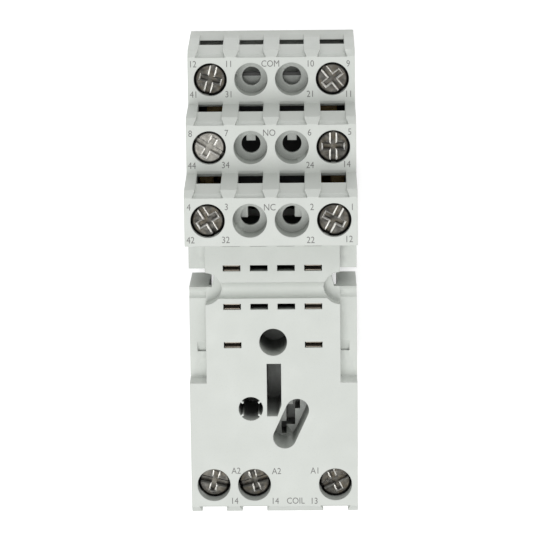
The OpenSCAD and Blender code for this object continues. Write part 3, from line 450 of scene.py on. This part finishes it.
def pale_backdrop(name, colour):
    """Pale paper that shows white behind the object and keeps its shadow."""
    material, tree, shader, place = new_finish(name, 0.0, 0.9)
    link = tree.links.new
    tone = spread(tree, noise(tree, place, 6.0, 3.0), 0.3, 0.7, 0.0, 1.0)
    paper = blend_colours(tree, tone, tinted(colour, 0.985), colour)
    link(paper, shader.inputs["Base Color"])
    shader.inputs["Specular IOR Level"].default_value = 0.0
    sight = tree.nodes.new("ShaderNodeLightPath")
    seen = maths(tree, "MAXIMUM", sight.outputs["Is Camera Ray"], maths(
        tree, "MAXIMUM", sight.outputs["Is Glossy Ray"], sight.outputs["Is Transmission Ray"]))
    shader.inputs["Emission Color"].default_value = (1.0, 1.0, 1.0, 1.0)
    link(maths(tree, "MULTIPLY", seen, 0.42), shader.inputs["Emission Strength"])
    return material


# -------------------------------------------------------------- shape helpers

def finished_piece(name, bm, finish, body, nodes=(), sharp=11.0):
    """Makes a piece of a bmesh, in place, and hangs it on its body."""
    mesh = bpy.data.meshes.new(name)
    bm.to_mesh(mesh)
    bm.free()
    for face in mesh.polygons:
        face.use_smooth = True
    mesh.set_sharp_from_angle(angle=math.radians(sharp))
    mesh.materials.append(finish)
    piece = bpy.data.objects.new(name, mesh)
    bpy.context.scene.collection.objects.link(piece)
    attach(piece, body)
    if nodes:
        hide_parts(*nodes)
    return piece


def merged_copy(node):
    """A bmesh copy of a CAD node, its corners joined and its flats whole."""
    bm = bmesh.new()
    bm.from_mesh(frame["nodes"][node].data)
    for layer in list(bm.loops.layers.uv):
        bm.loops.layers.uv.remove(layer)
    bmesh.ops.remove_doubles(bm, verts=bm.verts, dist=0.002 * MM)
    bmesh.ops.dissolve_limit(
        bm, angle_limit=math.radians(0.5), use_dissolve_boundaries=False,
        verts=bm.verts, edges=bm.edges, delimit={"NORMAL"})
    return bm


def edge_runs(edges):
    """Sorts edges into runs that touch one another."""
    left = set(edges)
    runs = []
    while left:
        run, reach = [], [left.pop()]
        while reach:
            edge = reach.pop()
            run.append(edge)
            for vert in edge.verts:
                for other in vert.link_edges:
                    if other in left:
                        left.remove(other)
                        reach.append(other)
        runs.append(run)
    return runs


def round_edges(bm, width, segments, wanted):
    """Rounds each run of the edges that wanted() picks."""
    picked = [edge for edge in bm.edges if len(edge.link_faces) == 2 and wanted(edge)]
    for run in edge_runs(picked):
        bmesh.ops.bevel(
            bm, geom=run, offset=width, offset_type="OFFSET", affect="EDGES",
            segments=segments, profile=0.5, material=-1, clamp_overlap=True)


def outward_edge(edge, least_angle=40.0, least_length=0.0):
    return (
        edge.is_convex
        and edge.calc_face_angle(0.0) > math.radians(least_angle)
        and edge.calc_length() >= least_length
    )


def set_node_finish(node, finish):
    """Gives a carried-over CAD node a better material."""
    for slot in frame["nodes"][node].material_slots:
        slot.material = finish


# ---------------------------------------------------------------- operators

class RELAYSOCKET_OT_housing(Operator):
    """Finishes the moulded housing and its base cover"""

    bl_idname = "relay_socket.housing"
    bl_label = "Housing"

    def execute(self, context):
        sizes = context.scene.relay_socket_sizes
        colours = context.scene.relay_socket_finish
        plastic = moulded_plastic("housing_plastic", colours.housing, sizes.edge_round, TERMINAL_ROOMS)
        finished_piece("moulded_housing", merged_copy("housing"), plastic, "socket", ("housing",))
        plastic = moulded_plastic("cover_plastic", colours.cover, sizes.edge_round, TERMINAL_ROOMS)
        finished_piece(
            "moulded_cover", merged_copy("base_cover"), plastic, "socket", ("base_cover",))
        return {"FINISHED"}


class RELAYSOCKET_OT_screws(Operator):
    """Makes the nine terminal screws, with bevelled slots and a rolled thread"""

    bl_idname = "relay_socket.screws"
    bl_label = "Screws"

    def execute(self, context):
        sizes = context.scene.relay_socket_sizes
        steps = context.scene.relay_socket_stage.thread_steps
        nickel = plated_screw("screw_nickel", context.scene.relay_socket_finish.nickel)
        for name in SCREWS:
            node = "screw_" + name
            low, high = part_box(node)
            centre = (low + high) / 2
            core_r = SHANK_R - sizes.thread_depth
            bm = merged_copy(node)
            round_edges(
                bm, sizes.slot_chamfer, 1,
                lambda edge: outward_edge(edge, 60.0) and all(v.co.z > high.z - 0.02 * MM for v in edge.verts)
                and not all((v.co - centre).xy.length > 2.5 * MM for v in edge.verts))
            round_edges(
                bm, sizes.head_chamfer, 2,
                lambda edge: outward_edge(edge, 60.0) and all(
                    v.co.z > high.z - 0.02 * MM and (v.co - centre).xy.length > 2.55 * MM
                    for v in edge.verts))
            # the core of the thread
            shank = [v for v in bm.verts if abs((v.co - centre).xy.length - SHANK_R) < 0.02 * MM]
            bmesh.ops.scale(
                bm, vec=(core_r / SHANK_R, core_r / SHANK_R, 1.0),
                space=Matrix.Translation((-centre.x, -centre.y, 0.0)), verts=shank)
            top_z = max(v.co.z for v in shank)
            self.roll_thread(bm, Vector((centre.x, centre.y, low.z)), top_z, core_r, sizes, steps)
            place = bm.verts.layers.float_vector.new("from_axis")
            wear = bm.verts.layers.float.new("wear")
            for vert in bm.verts:
                vert[place] = vert.co - Vector((centre.x, centre.y, high.z))
                vert[wear] = SCREW_WEAR.get(name, 0.0)
            finished_piece("cut_" + node, bm, nickel, node, (node,))
        return {"FINISHED"}

    @staticmethod
    def roll_thread(bm, foot, top_z, core_r, sizes, steps):
        """Winds a thread of triangular section up the shank."""
        pitch = sizes.thread_pitch
        turns = (top_z - foot.z) / pitch - 1.2
        root_r = core_r - 0.03 * MM
        crest_r = core_r + sizes.thread_depth
        start_z = foot.z + 0.5 * pitch
        corners = [
            bm.verts.new((foot.x + r, foot.y, start_z + z))
            for r, z in (
                (root_r, -0.46 * pitch), (crest_r, -0.07 * pitch),
                (crest_r, 0.07 * pitch), (root_r, 0.46 * pitch))
        ]
        section = bm.faces.new(corners)
        count = int(turns * steps)
        made = bmesh.ops.spin(
            bm, geom=[section] + list(section.edges) + list(section.verts), cent=(foot.x, foot.y, start_z),
            axis=(0.0, 0.0, 1.0), dvec=(0.0, 0.0, pitch / steps), angle=math.tau * count / steps,
            steps=count, use_merge=False, use_duplicate=False)
        bmesh.ops.recalc_face_normals(bm, faces=bm.faces)


class RELAYSOCKET_OT_clamps(Operator):
    """Finishes the rising wire clamps"""

    bl_idname = "relay_socket.clamps"
    bl_label = "Clamps"

    def execute(self, context):
        zinc = plated_steel("clamp_zinc", context.scene.relay_socket_finish.zinc)
        for name in SCREWS:
            bm = merged_copy("clamp_" + name)
            round_edges(bm, 0.1 * MM, 2, lambda edge: outward_edge(edge, 60.0, 0.3 * MM))
            node = "clamp_" + name
            finished_piece("pressed_" + node, bm, zinc, node, (node,))
        return {"FINISHED"}


class RELAYSOCKET_OT_conductors(Operator):
    """Gives the conductor strips and the blade contacts their finishes"""

    bl_idname = "relay_socket.conductors"
    bl_label = "Conductors"

    def execute(self, context):
        colours = context.scene.relay_socket_finish
        # the brass and its stain are kept dark, partly as aged brass and partly as painted shade
        brass = stamped_copper_alloy("strip_brass", colours.brass, (0.15, 0.1, 0.05))
        bronze = stamped_copper_alloy("contact_bronze_finish", colours.bronze, (0.09, 0.075, 0.058), 0.45)
        for node in STRIPS:
            set_node_finish(node, brass)
        seat_z = frame["record"]["mounts"][2]["pos_m"][2]
        for node in FORKS:
            bm = merged_copy(node)
            low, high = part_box(node)
            self.add_lips(bm, (low + high) / 2, high.z, seat_z - 0.25 * MM)
            finished_piece("contact_" + node[5:], bm, bronze, "socket", (node,))
        return {"FINISHED"}

    @staticmethod
    def add_lips(bm, centre, low_z, high_z):
        """Two thin lips that lead a relay's blade down its slot."""
        for top_y, foot_y in ((-0.37, 0.1), (0.37, 0.3)):
            lip = bmesh.ops.create_cube(bm, size=1.0)["verts"]
            bmesh.ops.scale(bm, vec=(2.5 * MM, 0.12 * MM, high_z - low_z), verts=lip)
            for vert in lip:
                vert.co.y += (top_y if vert.co.z > 0.0 else foot_y) * MM
            bmesh.ops.translate(bm, vec=(centre.x, centre.y, (low_z + high_z) / 2), verts=lip)


class RELAYSOCKET_OT_latch(Operator):
    """Finishes the rail latch and its spring"""

    bl_idname = "relay_socket.latch"
    bl_label = "Rail latch"

    def execute(self, context):
        sizes = context.scene.relay_socket_sizes
        colours = context.scene.relay_socket_finish
        plastic = moulded_plastic("latch_plastic", colours.latch, sizes.edge_round)
        bm = merged_copy("rail_latch")
        round_edges(bm, 0.15 * MM, 2, lambda edge: outward_edge(edge, 60.0))
        finished_piece("moulded_latch", bm, plastic, "latch", ("rail_latch",))
        set_node_finish("latch_spring", plated_steel("spring_wire", (0.36, 0.36, 0.38)))
        return {"FINISHED"}


class RELAYSOCKET_OT_lettering(Operator):
    """Prints the terminal numbers on the tiers and on the coil end"""

    bl_idname = "relay_socket.lettering"
    bl_label = "Lettering"

    def execute(self, context):
        sizes = context.scene.relay_socket_sizes
        ink = printed_ink("letter_ink", context.scene.relay_socket_finish.ink)
        scale = sizes.letter_height / self.cap_height()
        for group, (face_z, texts) in LETTERING.items():
            bm = bmesh.new()
            for text, x, y in texts:
                mesh = self.flat_text(text, sizes.ink_thickness / scale)
                mesh.transform(Matrix.Translation((x * MM, y * MM, face_z * MM)) @ Matrix.Scale(scale, 4))
                bm.from_mesh(mesh)
                bpy.data.meshes.remove(mesh)
            finished_piece("numbers_" + group, bm, ink, "socket")
        return {"FINISHED"}

    @staticmethod
    def flat_text(text, thickness):
        """The text as a mesh, with its middle at the origin."""
        curve = bpy.data.curves.new("lettering", "FONT")
        curve.body = text
        curve.extrude = thickness
        curve.resolution_u = 4
        curve.space_character = 1.0
        holder = bpy.data.objects.new("lettering", curve)
        bpy.context.scene.collection.objects.link(holder)
        bpy.context.view_layer.update()
        mesh = bpy.data.meshes.new_from_object(holder.evaluated_get(bpy.context.evaluated_depsgraph_get()))
        bpy.data.objects.remove(holder)
        bpy.data.curves.remove(curve)
        corners = [v.co for v in mesh.vertices]
        middle = [(min(c[i] for c in corners) + max(c[i] for c in corners)) / 2 for i in (0, 1)]
        to_middle = Matrix.Translation((-middle[0], -middle[1], 0.0))
        mesh.transform(Matrix.Diagonal((LETTER_NARROWING, 1.0, 1.0, 1.0)) @ to_middle)
        return mesh

    def cap_height(self):
        """Height of a capital at size 1."""
        mesh = self.flat_text("N", 0.0)
        height = max(v.co.y for v in mesh.vertices) - min(v.co.y for v in mesh.vertices)
        bpy.data.meshes.remove(mesh)
        return height


class RELAYSOCKET_OT_stage(Operator):
    """Sets the floor, the lamps, the room light and the camera"""

    bl_idname = "relay_socket.stage"
    bl_label = "Stage"

    def execute(self, context):
        stage = context.scene.relay_socket_stage
        self.make_floor(stage)
        self.light_room(context.scene, stage)
        self.hang_lamp("main_lamp", (-0.12, -0.24, 0.89), 0.55, stage.key)
        self.hang_lamp("second_lamp", (0.25, 0.6, 0.7), 0.5, stage.fill)
        self.set_camera(context.scene, stage)
        context.scene.view_settings.view_transform = "Standard"
        return {"FINISHED"}

    @staticmethod
    def make_floor(stage):
        bm = bmesh.new()
        bmesh.ops.create_grid(bm, x_segments=2, y_segments=2, size=3.0)
        mesh = bpy.data.meshes.new("floor")
        bm.to_mesh(mesh)
        bm.free()
        mesh.materials.append(pale_backdrop("pale_paper", stage.floor))
        floor = bpy.data.objects.new("floor", mesh)
        bpy.context.scene.collection.objects.link(floor)

    @staticmethod
    def light_room(scene, stage):
        world = bpy.data.worlds.new("studio")
        world.use_nodes = True
        tree = world.node_tree
        room = tree.nodes["Background"]
        room.inputs["Color"].default_value = (1.0, 1.0, 1.0, 1.0)
        sight = tree.nodes.new("ShaderNodeLightPath")
        seen = maths(tree, "MAXIMUM", sight.outputs["Is Camera Ray"], maths(
            tree, "MAXIMUM", sight.outputs["Is Glossy Ray"], sight.outputs["Is Transmission Ray"]))
        tree.links.new(spread(tree, seen, 0.0, 1.0, stage.room, 1.0), room.inputs["Strength"])
        scene.world = world

    @staticmethod
    def hang_lamp(name, place, size, power):
        light = bpy.data.lights.new(name, "AREA")
        light.shape = "DISK"
        light.size = size
        light.energy = power
        lamp = bpy.data.objects.new(name, light)
        lamp.location = place
        lamp.rotation_euler = Vector(place).to_track_quat("Z", "Y").to_euler()
        bpy.context.scene.collection.objects.link(lamp)

    @staticmethod
    def set_camera(scene, stage):
        turn = (
            Matrix.Rotation(math.radians(-11.5), 3, "X")
            @ Matrix.Rotation(math.radians(0.974), 3, "Y")
            @ Matrix.Rotation(math.radians(-0.4617), 3, "Z"))
        target = Vector((-0.330, 6.614, 25.0)) * MM
        lens = bpy.data.cameras.new("camera")
        lens.lens = stage.lens
        lens.sensor_width = 36.0
        lens.shift_y = -0.0463
        lens.clip_start = 0.01
        camera = bpy.data.objects.new("camera", lens)
        camera.matrix_world = Matrix.Translation(target + turn.col[2] * 0.4) @ turn.to_4x4()
        scene.collection.objects.link(camera)
        scene.camera = camera


class RELAYSOCKET_PT_panel(Panel):
    """Lists the steps that finish the relay socket"""

    bl_idname = "RELAYSOCKET_PT_panel"
    bl_label = "Relay Socket"
    bl_space_type = "VIEW_3D"
    bl_region_type = "UI"
    bl_category = "Relay Socket"

    def draw(self, context):
        layout = self.layout
        scene = context.scene
        for title, group in (
                ("Sizes", scene.relay_socket_sizes), ("Finish", scene.relay_socket_finish),
                ("Stage", scene.relay_socket_stage)):
            box = layout.box()
            box.label(text=title)
            for name in group.__annotations__:
                box.prop(group, name)
        for operator in OPERATORS:
            layout.operator(operator.bl_idname)


OPERATORS = (
    RELAYSOCKET_OT_stage,
    RELAYSOCKET_OT_housing,
    RELAYSOCKET_OT_screws,
    RELAYSOCKET_OT_clamps,
    RELAYSOCKET_OT_conductors,
    RELAYSOCKET_OT_latch,
    RELAYSOCKET_OT_lettering,
)
CLASSES = (RelaySocketSizes, RelaySocketFinish, RelaySocketStage, *OPERATORS, RELAYSOCKET_PT_panel)


def register():
    for made in CLASSES:
        bpy.utils.register_class(made)
    bpy.types.Scene.relay_socket_sizes = PointerProperty(type=RelaySocketSizes)
    bpy.types.Scene.relay_socket_finish = PointerProperty(type=RelaySocketFinish)
    bpy.types.Scene.relay_socket_stage = PointerProperty(type=RelaySocketStage)


def unregister():
    del bpy.types.Scene.relay_socket_stage
    del bpy.types.Scene.relay_socket_finish
    del bpy.types.Scene.relay_socket_sizes
    for made in reversed(CLASSES):
        bpy.utils.unregister_class(made)


def main():
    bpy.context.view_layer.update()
    register()
    bpy.ops.relay_socket.stage()
    bpy.ops.relay_socket.housing()
    bpy.ops.relay_socket.screws()
    bpy.ops.relay_socket.clamps()
    bpy.ops.relay_socket.conductors()
    bpy.ops.relay_socket.latch()
    bpy.ops.relay_socket.lettering()


if __name__ == "__main__":
    main()
